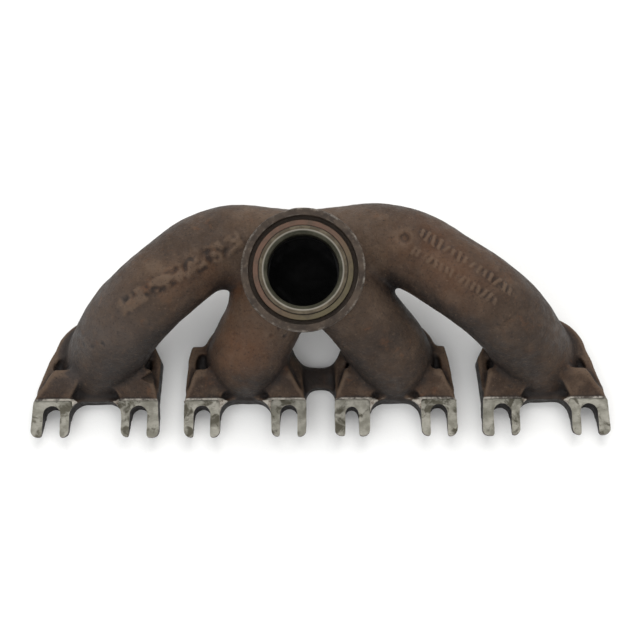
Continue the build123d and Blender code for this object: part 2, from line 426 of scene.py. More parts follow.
def near_point(point, close, far):
    """1 within a distance of a point, easing to 0 further off."""
    x, y, z = point
    return 1 - ramp(np.sqrt((X - x) ** 2 + ((Y - y) ** 2 + (Z - z) ** 2)), close, far)


def cast_field():
    """Distance field of the rough casting, with stock left on every face that is machined."""
    points, triangles = cast_surface()
    fine = blurred(filled(points, triangles, FINE_FILLET), SKIN_BLUR)
    wide = blurred(filled(points, triangles, WIDE_FILLET), BLEND_BLUR)
    collector_middle = (outlet_centre.x, COLLECTOR_BLEND_Y, COLLECTOR_BLEND_Z)
    near = COLLECTOR_BLEND * near_point(collector_middle, 40 * MM, 58 * MM)
    near = np.maximum(near, near_point(INNER_HOLE, 17 * MM, 30 * MM))
    return fine + (wide - fine) * near


def plan_line(start, end):
    """Distances along and across a line in plan, over the grid, and the line's length."""
    (start_x, start_y), (end_x, end_y) = start, end
    length = math.hypot(end_x - start_x, end_y - start_y)
    run_x, run_y = (end_x - start_x) / length, (end_y - start_y) / length
    along = (X - start_x) * run_x + (Y - start_y) * run_y
    across = (Y - start_y) * run_x - (X - start_x) * run_y
    return along, across, length


def raised_bars(start, end, pitch, half_height, seed):
    """A row of eroded raised bars along a line in plan, as relief from 0 to 1."""
    along, across, length = plan_line(start, end)
    random = np.random.RandomState(seed)
    count = int(length / pitch)
    number = np.clip((along / pitch).astype(int), 0, count - 1)
    tall = random.uniform(0.7, 1.15, count)[number] * half_height
    lean = random.uniform(-0.4, 0.4, count)[number]
    strength = random.uniform(0.4, 1.0, count)[number]
    shift = random.uniform(-0.16, 0.16, count)[number] * pitch
    offset = along - (number + 0.5) * pitch - shift - lean * across
    bar = 1 - ramp(np.abs(offset), 0.6 * MM, 1.4 * MM)
    ends = 1 - ramp(np.abs(across), tall - 0.6 * MM, tall + 0.6 * MM)
    inside = (along > 0) & (along < length)
    return (bar * ends * strength * inside).astype(np.float32)


def rough_band(start, end, half_width, seed):
    """A band of cast blobs and pits along a line in plan, as relief from -1 to 1."""
    along, across, length = plan_line(start, end)
    inside = 1 - ramp(np.abs(across), half_width - 2 * MM, half_width + 1.5 * MM)
    inside = inside * ramp(along, -4 * MM, 2 * MM) * ramp(length - along, -4 * MM, 2 * MM)
    blobs = lattice_noise(2.0 * MM, seed) + 0.5 * lattice_noise(4.5 * MM, seed + 1)
    return (ramp(blobs, -0.2, 0.7) - 0.7 * ramp(-blobs, 0.1, 0.8)) * inside.astype(np.float32)


# Worn markings on top of the outer runners, each from one end to the other in plan.
UPPER_BARS = ((0.0566, 0.0590), (0.1105, 0.0220))
LOWER_BARS = ((0.0520, 0.0485), (0.1020, 0.0160))
ROUGH_BAND = ((-0.112, 0.016), (-0.044, 0.056))
DIMPLE = (0.0485, 0.0550, 0.0770)
PARTING_Z = 55 * MM
PARTING_WIDTH = 0.9 * MM


def marked(field):
    """The field with the worn cast markings, the dimple and the parting line of the outer runners."""
    relief = 1.05 * raised_bars(*UPPER_BARS, 4.3 * MM, 3.0 * MM, 31)
    relief = relief + 0.75 * raised_bars(*LOWER_BARS, 3.6 * MM, 2.3 * MM, 37)
    relief = relief + 0.8 * rough_band(*ROUGH_BAND, 5.0 * MM, 41)
    relief = relief - 1.1 * near_point(DIMPLE, 1.5 * MM, 4.5 * MM)
    on_top = ramp(Z, 60 * MM, 64 * MM)
    ridge = np.exp(-(((Z - PARTING_Z) / PARTING_WIDTH) ** 2))
    ridge = ridge * ramp(np.abs(X - outlet_centre.x), 46 * MM, 56 * MM)
    ridge = ridge * ramp(Y, 18 * MM, 30 * MM) * (0.55 + 0.45 * lattice_noise(6 * MM, 43))
    return field - (relief * on_top + 0.6 * ridge) * np.float32(MM)


def roughened(field):
    """The field with the waviness, sand grain and pits of the cast skin."""
    along = (X - outlet_centre.x) * outlet_axis.x + (Y - outlet_centre.y) * outlet_axis.y
    along = along + (Z - outlet_centre.z) * outlet_axis.z
    clear_of_outlet = 1 - ramp(along, -seat_depth - 5 * MM, -seat_depth)
    wave = 0.30 * MM * lattice_noise(20 * MM, 3)
    wave += 0.16 * MM * lattice_noise(8 * MM, 5)
    wave += 0.09 * MM * lattice_noise(3.2 * MM, 7)
    wave += 0.07 * MM * lattice_noise(1.7 * MM, 11)
    pits = ramp(lattice_noise(2.4 * MM, 13) * (0.6 + 0.4 * lattice_noise(26 * MM, 17)), 0.62, 0.95)
    return field + (wave + 0.35 * MM * pits) * clear_of_outlet


def covered_field():
    """Distance field of the casting with its gas passages counted as solid."""
    surfaces = [cast_surface()]
    for port in PORTS:
        plug = prism(arc(port_centre[port].xy, port_bore_r + MM, 0, 350, 35), 0, 2 * MM)
        surfaces.append(mesh_arrays(plug))
        discard(plug)
    grid = level_set(*merged(surfaces), outside=2.5 * MM, inside=4 * MM)
    field = np.zeros(shape, np.float32)
    grid.copyToArray(field, ijk=tuple(low_index))
    return field


def with_stock(field):
    """The field carried on straight past the head face and the lug faces."""
    head = int(round(HEAD_STOCK_FROM / VOXEL)) - low_index[2]
    field[:, :, :head] = field[:, :, head : head + 1]
    lugs = AXES[1] < lug_root_y - 0.5 * VOXEL
    top = int(round((lug_top_z - LUG_STOCK_DEPTH) / VOXEL)) - low_index[2]
    ceiling = int(round((lug_top_z + STOCK) / VOXEL)) - low_index[2]
    field[:, lugs, top:ceiling] = field[:, lugs, top : top + 1]
    return field


def limited(field):
    """The field ended a little below the head face, so that its surface is closed."""
    return np.maximum(field, -(Z + STOCK))


def field_object(name, field):
    """The surface of a field as a mesh object."""
    reach = np.float32(3 * VOXEL)
    grid = openvdb.FloatGrid(float(reach))
    grid.copyFromArray(np.clip(field, -reach, reach), ijk=tuple(low_index), tolerance=0.0)
    grid.transform = transform
    points, _, quads = grid.convertToPolygons(isovalue=0.0, adaptivity=0.0)
    faces = quads.astype(np.int64)
    return mesh_object(name, points, faces)


# ---- machined and divided castings --------------------------------------------------------------
def lathe(name, profile, segments):
    """A closed ring or disc turned about the outlet axis from (radius, height) points."""
    turn = outlet_axis.to_track_quat("Z", "Y").to_matrix()
    count = len(profile)
    points = np.empty((segments, count, 3))
    for step in range(segments):
        angle = 2 * math.pi * step / segments
        for index, (radius, height) in enumerate(profile):
            arm = Vector((radius * math.cos(angle), radius * math.sin(angle), height))
            points[step, index] = outlet_centre + turn @ arm
    step, index = np.meshgrid(np.arange(segments), np.arange(count), indexing="ij")
    step_after, index_after = (step + 1) % segments, (index + 1) % count
    corners = [step * count + index, step_after * count + index]
    corners += [step_after * count + index_after, step * count + index_after]
    faces = np.stack(corners, -1).reshape(-1, 4)
    return mesh_object(name, points.reshape(-1, 3), faces)


def round_bar(name, radius, low, high, segments=96):
    """A closed bar on the outlet axis between two heights."""
    bar = prism(arc((0, 0), radius, 0, 360 * (1 - 1 / segments), segments - 1), low, high, name)
    turn = outlet_axis.to_track_quat("Z", "Y").to_matrix().to_4x4()
    bar.data.transform(Matrix.Translation(outlet_centre) @ turn)
    return bar


def milling_tools():
    """Blocks that mill the top of every lug, with the end mill's radius in their upper corners."""
    tools = []
    for name in LUGS:
        stud_x, reach = stud_place(name)
        low_x, high_x = stud_x - reach - MILL_OVERRUN, stud_x + reach + MILL_OVERRUN
        corner_y = lug_root_y - END_MILL_R
        outline = [(low_x, -0.09), (high_x, -0.09)]
        outline += arc((high_x - END_MILL_R, corner_y), END_MILL_R, 0, 90, 8)
        outline += arc((low_x + END_MILL_R, corner_y), END_MILL_R, 90, 180, 8)
        tools.append(prism(outline, lug_top_z, lug_top_z + 5 * STOCK))
    return joined(tools)


def stud_place(lug):
    """Stud place and the lug's reach to each side of it, along the engine."""
    _, _, port, side = lug.split("_")
    sign = -1 if side == "left" else 1
    stud_x = port_centre[int(port)].x + sign * stud_spacing / 2
    low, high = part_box(lug)
    outer_x = low.x if side == "left" else high.x
    return stud_x, abs(outer_x - stud_x)


def islands(obj):
    """Number of the connected part that each vertex of an object is in."""
    mesh = obj.data
    edges = np.empty(2 * len(mesh.edges), np.int32)
    mesh.edges.foreach_get("vertices", edges)
    first, second = edges.reshape(-1, 2).T
    label = np.arange(len(mesh.vertices))
    while True:
        lowest = np.minimum(label[first], label[second])
        grown = label.copy()
        np.minimum.at(grown, first, lowest)
        np.minimum.at(grown, second, lowest)
        grown = grown[grown]
        if (grown == label).all():
            return label
        label = grown


def points_of(obj):
    """Vertex places of an object as an array."""
    points = np.empty(3 * len(obj.data.vertices), np.float32)
    obj.data.vertices.foreach_get("co", points)
    return points.reshape(-1, 3)


def part_of(obj, name, chosen):
    """A new object with the chosen vertices and the faces between them."""
    mesh = bmesh.new()
    mesh.from_mesh(obj.data)
    mesh.verts.ensure_lookup_table()
    unwanted = [mesh.verts[index] for index in np.flatnonzero(~chosen)]
    bmesh.ops.delete(mesh, geom=unwanted, context="VERTS")
    made = bpy.data.meshes.new(name)
    mesh.to_mesh(made)
    mesh.free()
    return new_object(name, made)


def tidied(obj, node):
    """The piece for a CAD node: the large connected parts of an object, without loose crumbs."""
    label = islands(obj)
    kept = np.bincount(label)[label] >= SMALLEST_ISLAND
    piece = part_of(obj, node + "_cast", kept)
    discard(obj)
    return piece


def divided(body, cells):
    """The pieces of a body by CAD node. The last node gets what the other nodes' cells leave."""
    pieces = {}
    for node, cell_of_node in cells.items():
        if cell_of_node:
            body, part = divide(body, cell_of_node, "part")
        else:
            part = body
        pieces[node] = tidied(part, node)
    return pieces


def lug_cells():
    """A block round every lug but the last, up to the middle of its port."""
    cells = {}
    for name in LUGS[:-1]:
        stud_x, _ = stud_place(name)
        low_x, high_x = stud_x - stud_spacing / 2, stud_x + stud_spacing / 2
        cells[name] = cell(low_x, high_x, -0.15, 0, -0.02, 0.06)
    cells[LUGS[-1]] = None
    return cells


def between(outer, inner):
    """The upright plane midway between an outer and an inner runner, facing the outer one."""
    near_head = (port_centre[outer] + port_centre[inner]) / 2
    near_collector = (collector_plane[outer][0] + collector_plane[inner][0]) / 2
    run = near_collector - near_head
    across = Vector((-run.y, run.x, 0)).normalized()
    if across.dot(port_centre[outer] - near_head) < 0:
        across.negate()
    return near_head, across


def runner_cells():
    """Blocks that hold runners 1, 4 and 2 in turn, which leaves runner 3."""
    depth_and_height = (-0.12, 0.15, -0.01, 0.12)
    cells = {}
    for outer, inner in ((1, 2), (4, 3)):
        planes = [between(outer, inner)]
        cells[f"runner_{outer}"] = cell(-BEYOND, BEYOND, *depth_and_height, planes)
    cells["runner_2"] = cell(-BEYOND, outlet_centre.x, *depth_and_height)
    cells["runner_3"] = None
    return cells


def head_side_tools():
    """The block below the head face and a bar for each port bore."""
    block = cell(-BEYOND, BEYOND, -0.12, 0.12, -5 * STOCK, 0)
    bars = []
    for port in PORTS:
        circle = arc(port_centre[port].xy, port_bore_r, 0, 357, 119)
        bars.append(prism(circle, -0.5 * STOCK, BORE_DEPTH))
    return block, joined(bars)


def castings():
    """Every cast piece by the name of the CAD node that it stands for."""
    body = field_object("casting", skin_field)
    block, bores = head_side_tools()
    body = machine(body, block)
    body = machine(body, bores)
    body = machine(body, milling_tools())
    body = machine(body, round_bar("bore", outlet_bore_r, -seat_depth - 8 * MM, 5 * MM))
    body = machine(body, round_bar("facing", neck_r + 9 * MM, -seat_depth, 30 * MM))
    body, lugs = divide(body, cell(-BEYOND, BEYOND, -0.12, lug_root_y, -0.02, 0.05), "lugs")
    pieces = divided(lugs, lug_cells())
    bridge_low, bridge_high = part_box("port_flange_2")[1].x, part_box("port_flange_3")[0].x
    bridge_cell = cell(bridge_low, bridge_high, -0.06, 0.015, -0.01, 0.02)
    body, bridge = divide(body, bridge_cell, "flange_bridge_cast")
    pieces["flange_bridge"] = bridge
    half_pitch = (port_centre[2].x - port_centre[1].x) / 2
    for port, name in zip(PORTS, FLANGES):
        point, direction = neck_plane[port]
        middle = port_centre[port].x
        flange_cell = cell(
            middle - half_pitch, middle + half_pitch, -0.06, 0.06, -0.01, 0.06, [(point, -direction)]
        )
        body, pieces[name] = divide(body, flange_cell, name + "_cast")
    left_half, right_half = HALVES
    collector_cell = cell(-0.08, 0.07, -0.02, 0.11, 0.001, 0.11, collector_plane.values())
    body, collector = divide(body, collector_cell, right_half + "_cast")
    left_cell = cell(-0.09, outlet_centre.x, -0.03, 0.12, 0, 0.12)
    collector, pieces[left_half] = divide(collector, left_cell, left_half + "_cast")
    pieces[right_half] = collector
    pieces.update(divided(body, runner_cells()))
    return pieces


def sampled(field, points):
    """Values of a field at points, interpolated between voxels."""
    place = points / VOXEL - np.array(low_index, np.float32)
    base = np.clip(place.astype(int), 0, np.array(shape) - 2)
    part = np.clip(place - base, 0, 1)
    total = 0
    for corner in range(8):
        offset = np.array([corner >> 2 & 1, corner >> 1 & 1, corner & 1])
        weight = np.abs(1 - offset - part).prod(1)
        i, j, k = (base + offset).T
        total = total + weight * field[i, j, k]
    return total


def away_from_skin(points):
    """Directions out of the casting at points on its skin."""
    slope = np.empty((len(points), 3), np.float32)
    for axis in range(3):
        step = np.zeros(3, np.float32)
        step[axis] = VOXEL
        slope[:, axis] = sampled(skin_field, points + step) - sampled(skin_field, points - step)
    return slope / np.maximum(np.linalg.norm(slope, axis=1, keepdims=True), 1e-9)


def store(piece, name, values):
    """Stores a value at each vertex, for the materials to read."""
    attribute = piece.data.attributes.new(name, "FLOAT", "POINT")
    attribute.data.foreach_set("value", np.ascontiguousarray(values, np.float32))


def give_relief(piece):
    """Stores how far each vertex stands out of its surroundings and whether it is in a gas passage."""
    points = points_of(piece)
    for name, field in relief_fields.items():
        store(piece, name, sampled(field, points))
    outward = away_from_skin(points)
    store(piece, "upward", outward[:, 2])
    store(piece, "passage", sampled(covered, points + outward * PASSAGE_PROBE) < -0.3 * PASSAGE_PROBE)


def shade(piece, angle=32.0):
    """Smooth shading with the machined edges kept sharp."""
    piece.data.shade_smooth()
    piece.data.set_sharp_from_angle(angle=math.radians(angle))


# ---- materials ----------------------------------------------------------------------------------
class Paint:
    """A procedural material under construction."""

    def __init__(self, name, metallic=0.0, specular=0.5):
        self.material = bpy.data.materials.new(name)
        self.material.use_nodes = True
        self.tree = self.material.node_tree
        self.tree.nodes.clear()
        self.shader = self.tree.nodes.new("ShaderNodeBsdfPrincipled")
        output = self.tree.nodes.new("ShaderNodeOutputMaterial")
        self.tree.links.new(self.shader.outputs[0], output.inputs[0])
        self.shader.inputs["Metallic"].default_value = metallic
        self.shader.inputs["Specular IOR Level"].default_value = specular
        self.place = self.tree.nodes.new("ShaderNodeTexCoord").outputs["Object"]

    def put(self, socket, value):
        """Links or sets one input."""
        if isinstance(value, bpy.types.NodeSocket):
            self.tree.links.new(value, socket)
        elif isinstance(value, tuple) and len(value) == 3 and socket.type == "RGBA":
            socket.default_value = (*value, 1.0)
        else:
            socket.default_value = value

    def node(self, kind, inputs=(), **settings):
        """A node with some settings and some inputs, given by name or number."""
        made = self.tree.nodes.new(kind)
        for key, value in settings.items():
            setattr(made, key, value)
        for key, value in dict(inputs).items():
            self.put(made.inputs[key], value)
        return made

    def noise(self, size, detail=3.0, roughness=0.55, place=None, warp=0.0):
        """Noise from 0 to 1 with features of about a size in metres."""
        inputs = {"Vector": place or self.place, "Scale": 1 / size, "Detail": detail}
        inputs |= {"Roughness": roughness, "Distortion": warp}
        return self.node("ShaderNodeTexNoise", inputs).outputs["Fac"]

    def turning_marks(self, radius, scale):
        """Fine rings left by a lathe tool, from 0 to 1."""
        inputs = {"W": radius, "Scale": scale, "Detail": 3.0}
        return self.node("ShaderNodeTexNoise", inputs, noise_dimensions="1D").outputs["Fac"]

    def band(self, value, low, high, to_low=0.0, to_high=1.0):
        """A value eased from one range to another."""
        inputs = {"Value": value, "From Min": low, "From Max": high, "To Min": to_low, "To Max": to_high}
        return self.node("ShaderNodeMapRange", inputs, interpolation_type="SMOOTHSTEP").outputs[0]

    def sum(self, operation, first, second):
        """Arithmetic on two values."""
        return self.node("ShaderNodeMath", {0: first, 1: second}, operation=operation).outputs[0]

    def mix(self, amount, first, second, blend="MIX"):
        """One colour laid over another."""
        made = self.node("ShaderNodeMix", data_type="RGBA", blend_type=blend)
        self.put(made.inputs[0], amount)
        self.put(made.inputs[6], first)
        self.put(made.inputs[7], second)
        return made.outputs[2]

    def attribute(self, name):
        """A value stored on the mesh."""
        return self.node("ShaderNodeAttribute", attribute_name=name).outputs["Fac"]

    def near(self, centre, radius):
        """1 at a place, easing to 0 at a radius."""
        offset = self.node("ShaderNodeVectorMath", {0: self.place, 1: centre}, operation="DISTANCE")
        return self.band(offset.outputs["Value"], radius, 0.2 * radius)

    def bump(self, height, distance):
        """A normal roughened by a height, where a height of 1 stands for a distance in metres."""
        inputs = {"Height": height, "Distance": distance, "Strength": 1.0}
        return self.node("ShaderNodeBump", inputs).outputs[0]

    def finish(self, colour, roughness, normal):
        """Connects the shader and gives the material."""
        self.put(self.shader.inputs["Base Color"], colour)
        self.put(self.shader.inputs["Roughness"], roughness)
        self.put(self.shader.inputs["Normal"], normal)
        return self.material


BLACK = (0.006, 0.006, 0.006)
# Dark brown-black, used for soot patches and specks and also for painted shade.
SOOT_AND_SHADE = (0.007, 0.005, 0.0045)
BROWN = (0.038, 0.0205, 0.0112)
TAN = (0.108, 0.070, 0.045)
RUST = (0.092, 0.036, 0.013)
ASH = (0.044, 0.041, 0.041)


def cast_skin():
    """Heat-scaled sand-cast iron: brown, paler on what stands out, with painted shade in the hollows, on
    faces turned away from above, low down and in the gas passages, and painted highlights on fine raised
    detail.
    """
    paint = Paint("cast_skin", specular=0.24)
    colour = paint.mix(paint.band(paint.noise(0.045, 4), 0.35, 0.66), SOOT_AND_SHADE, BROWN)
    colour = paint.mix(0.5, colour, BROWN)
    colour = paint.mix(paint.band(paint.noise(0.016, 5, 0.6), 0.46, 0.72, 0, 0.55), colour, TAN)
    for centre, radius, tint, amount in HEAT_TINTS:
        patchy = paint.band(paint.noise(0.02, 4), 0.3, 0.62, 0.35 * amount, amount)
        colour = paint.mix(paint.sum("MULTIPLY", patchy, paint.near(centre, radius)), colour, tint)
    rusty = paint.band(paint.noise(0.009, 5, 0.65, warp=0.6), 0.56, 0.74, 0, 0.55)
    colour = paint.mix(rusty, colour, RUST)
    relief = paint.attribute("relief")
    # Painted shade: the hollows are darkened; the next line makes what stands out paler.
    colour = paint.mix(paint.band(relief, 0.1, -1.1, 0, 0.85), colour, SOOT_AND_SHADE)
    colour = paint.mix(paint.band(relief, 0.35, 1.3, 0, 0.5), colour, TAN)
    # Painted shade: faces that turn away from above, the sides and undersides, are darkened, a little
    # unevenly.
    uneven = paint.band(paint.noise(0.012, 4), 0.2, 0.8, -0.15, 0.15)
    upward = paint.sum("ADD", paint.attribute("upward"), uneven)
    colour = paint.mix(paint.band(upward, 0.86, 0.1, 0, 0.88), colour, SOOT_AND_SHADE)
    # Painted shade in small pits and painted highlights on small raised detail, such as the tops of the
    # cast bars.
    fine = paint.attribute("fine_relief")
    colour = paint.mix(paint.band(fine, 0.02, -0.16, 0, 0.6), colour, SOOT_AND_SHADE)
    colour = paint.mix(paint.band(fine, 0.03, 0.22, 0, 0.42), colour, TAN)
    fleck = paint.noise(0.0014, 4, 0.75)
    colour = paint.mix(paint.band(fleck, 0.56, 0.74, 0, 0.75), colour, TAN)
    colour = paint.mix(paint.band(fleck, 0.46, 0.30, 0, 0.75), colour, SOOT_AND_SHADE)
    place = paint.node("ShaderNodeSeparateXYZ", {0: paint.place}).outputs
    # Painted shade low down, below the height of the lug faces, on the flanges, the lug sides and the
    # bridge.
    colour = paint.mix(paint.band(place[2], 12.4 * MM, 10.5 * MM, 0, 0.75), colour, SOOT_AND_SHADE)
    at_root = paint.band(paint.sum("SUBTRACT", place[1], lug_root_y), 1.2 * MM, 0.3 * MM)
    at_top = paint.band(paint.sum("SUBTRACT", place[2], lug_top_z), -0.9 * MM, -0.1 * MM)
    chipped = paint.band(paint.noise(0.0055, 5, 0.75), 0.40, 0.60, 0.1, 0.95)
    edge = paint.sum("MULTIPLY", paint.sum("MULTIPLY", at_root, at_top), chipped)
    colour = paint.mix(edge, colour, (0.42, 0.39, 0.34))
    # Painted shade: the insides of the gas passages are painted black.
    colour = paint.mix(paint.attribute("passage"), colour, BLACK)
    grain = paint.noise(0.0006, 2, 0.6)
    sand = paint.sum("ADD", paint.noise(0.0018, 3, 0.6), paint.sum("MULTIPLY", grain, 0.5))
    normal = paint.bump(sand, 0.00045)
    roughness = paint.band(paint.noise(0.006, 4), 0.3, 0.7, 0.50, 0.72)
    return paint.finish(colour, roughness, normal)


def milled_face():
    """Milled iron with fine cutter marks, brown stains and small nicks."""
    paint = Paint("milled_face", metallic=0.55, specular=0.5)
    stretched = paint.node("ShaderNodeMapping", {"Vector": paint.place, "Scale": (0.25, 2.2, 1.0)})
    marks = paint.noise(0.0007, 2, 0.5, place=stretched.outputs[0])
    clean = paint.band(paint.noise(0.006, 4), 0.35, 0.65)
    colour = paint.mix(clean, (0.135, 0.130, 0.104), (0.26, 0.25, 0.215))
    colour = paint.mix(paint.band(marks, 0.35, 0.65, 0, 0.35), colour, (0.14, 0.132, 0.108))
    stain = paint.band(paint.noise(0.0075, 5, 0.62, warp=0.5), 0.50, 0.64, 0, 0.85)
    colour = paint.mix(stain, colour, (0.050, 0.044, 0.027))
    speck = paint.band(paint.noise(0.0014, 3, 0.7), 0.60, 0.72, 0, 0.8)
    colour = paint.mix(speck, colour, (0.05, 0.036, 0.022))
    normal = paint.bump(paint.sum("ADD", marks, stain), 0.00012)
    roughness = paint.band(stain, 0, 0.8, 0.36, 0.62)
    return paint.finish(colour, roughness, normal)


# Places on the casting where heat has tinted the skin: centre, radius, colour and strength.
HEAT_TINTS = (
    ((-0.048, 0.012, 0.040), 0.046, RUST, 0.8),
    ((-0.138, 0.010, 0.045), 0.060, ASH, 0.8),
    ((0.075, 0.045, 0.075), 0.050, RUST, 0.45),
    ((-0.070, 0.030, 0.065), 0.030, RUST, 0.45),
    ((0.040, 0.010, 0.040), 0.045, SOOT_AND_SHADE, 0.75),
    ((0.130, 0.012, 0.045), 0.050, SOOT_AND_SHADE, 0.35),
)

skin_field = limited(with_stock(marked(roughened(cast_field()))))
covered = covered_field()
relief_fields = {
    "relief": (blurred(skin_field, 3.0 * MM) - skin_field) / MM,
    "fine_relief": (blurred(skin_field, 1.1 * MM) - skin_field) / MM,
}
cast_pieces = castings()

skin_material = cast_skin()
milled_material = milled_face()


def material_faces(piece, materials, chooser):
    """Gives each face the number of its material, from its middle and direction."""
    mesh = piece.data
    for material in materials:
        mesh.materials.append(material)
    count = len(mesh.polygons)
    normals = np.empty(3 * count, np.float32)
    mesh.polygons.foreach_get("normal", normals)
    centres = np.empty(3 * count, np.float32)
    mesh.polygons.foreach_get("center", centres)
    numbers = chooser(centres.reshape(-1, 3), normals.reshape(-1, 3)).astype(np.int32)
    mesh.polygons.foreach_set("material_index", numbers)


def machined_faces(centres, normals):
    """1 on the head face and the milled lug faces, 0 on the cast skin."""
    flat = np.abs(normals[:, 2]) > 0.999
    level = np.minimum(np.abs(centres[:, 2]), np.abs(centres[:, 2] - lug_top_z)) < 0.02 * MM
    return flat & level


for name, piece in cast_pieces.items():
    shade(piece)
    give_relief(piece)
    material_faces(piece, (skin_material, milled_material), machined_faces)
    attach(piece, "root")
    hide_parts(name)

# ---- turned outlet ------------------------------------------------------------------------------
RIM_R = 35.0 * MM
RIM_EDGE_DEPTH = 4.5 * MM
RIM_BACK_DEPTH = 10.5 * MM
GROOVE_OUTER_R = 30.8 * MM
GROOVE_INNER_R = 28.3 * MM
GROOVE_DEPTH = 4.5 * MM
COLLAR_DROP = 1.6 * MM
SEAT_R = 25.2 * MM
SEAT_DROP = 1.0 * MM
MOUTH_CHAMFER = 2.2 * MM
TURNED_SEGMENTS = 340
PROFILE_STEP = 0.75 * MM


def eased_profile(corners):
    """A closed profile with rounded corners and short steps, from (radius, height, corner radius)."""
    points = []
    count = len(corners)
    for index, (radius, height, ease) in enumerate(corners):
        here = Vector((radius, height))
        before = Vector(corners[index - 1][:2]) - here
        after = Vector(corners[(index + 1) % count][:2]) - here
        if not ease:
            points.append(here)
            continue
        start = here + before.normalized() * ease
        end = here + after.normalized() * ease
        for step in range(5):
            t = step / 4
            points.append(start * (1 - t) ** 2 + here * 2 * t * (1 - t) + end * t ** 2)
    profile = []
    for index, point in enumerate(points):
        after = points[(index + 1) % len(points)]
        steps = max(1, round((after - point).length / PROFILE_STEP))
        for step in range(steps):
            profile.append(tuple(point.lerp(after, step / steps)))
    return profile


def turned_piece(name, corners, roughen):
    """A turned ring whose surface is moved in and out by a function of place, radius and depth."""
    piece = lathe(name, eased_profile(corners), TURNED_SEGMENTS)
    mesh = bmesh.new()
    mesh.from_mesh(piece.data)
    bmesh.ops.recalc_face_normals(mesh, faces=mesh.faces[:])
    mesh.normal_update()
    radii, depths, moves = [], [], []
    for vertex in mesh.verts:
        arm = vertex.co - outlet_centre
        depth = -arm.dot(outlet_axis)
        radius = arm.cross(outlet_axis).length
        radii.append(radius / MM)
        depths.append(depth / MM)
        moves.append(roughen(vertex.co, radius, depth))
    normals = [vertex.normal.copy() for vertex in mesh.verts]
    for vertex, move, normal in zip(mesh.verts, moves, normals):
        vertex.co += normal * move
    mesh.to_mesh(piece.data)
    mesh.free()
    store(piece, "radius_mm", radii)
    store(piece, "depth_mm", depths)
    store(piece, "chipped", [-move / MM for move in moves])
    shade(piece, 40.0)
    return piece


def eased(value, low, high):
    """Smooth step of a single value."""
    place = min(1.0, max(0.0, (value - low) / (high - low)))
    return place * place * (3 - 2 * place)


def flange_wear(place, radius, depth):
    """Dents and chips along the rim, and a slightly wavy cast back."""
    if depth > seat_depth - 1.5 * MM:
        return 0.0
    rim = eased(radius, RIM_R - 2.4 * MM, RIM_R - 0.6 * MM) * (1 - eased(depth, 2.0 * MM, 4.0 * MM))
    chip = eased(noise.noise(place * 120 + Vector((7, 0, 0))), 0.15, 0.6)
    chip += 0.6 * eased(noise.noise(place * 430), 0.35, 0.7)
    cast_back = eased(depth, RIM_EDGE_DEPTH, RIM_EDGE_DEPTH + 2 * MM)
    wave = (0.05 + 0.15 * cast_back) * noise.noise(place * 180)
    fine = (0.02 + 0.04 * cast_back) * noise.noise(place * 700)
    return (wave + fine - 0.38 * chip * rim) * MM


def seat_wear(place, _radius, _depth):
    """Light pitting all over the seat ring."""
    pit = eased(noise.noise(place * 800), 0.3, 0.6)
    return (0.02 * noise.noise(place * 300) - 0.08 * pit) * MM


FLANGE_CORNERS = (
    (SEAT_R, -COLLAR_DROP, 0.45 * MM),
    (GROOVE_INNER_R, -COLLAR_DROP, 0.5 * MM),
    (GROOVE_INNER_R, -GROOVE_DEPTH, 0.6 * MM),
    (GROOVE_OUTER_R, -GROOVE_DEPTH, 0.6 * MM),
    (GROOVE_OUTER_R, 0, 0.6 * MM),
    (RIM_R, 0, 1.2 * MM),
    (RIM_R, -RIM_EDGE_DEPTH, 0.9 * MM),
    (neck_r, -RIM_BACK_DEPTH, 1.4 * MM),
    (neck_r, -seat_depth, 0),
    (SEAT_R, -seat_depth, 0),
)
SEAT_CORNERS = (
    (outlet_bore_r + MOUTH_CHAMFER, -SEAT_DROP, 0.4 * MM),
    (SEAT_R, -SEAT_DROP, 0.5 * MM),
    (SEAT_R, -seat_depth, 0),
    (outlet_bore_r, -seat_depth, 0),
    (outlet_bore_r, -SEAT_DROP - MOUTH_CHAMFER, 0.5 * MM),
)
IRON = (0.42, 0.38, 0.33)


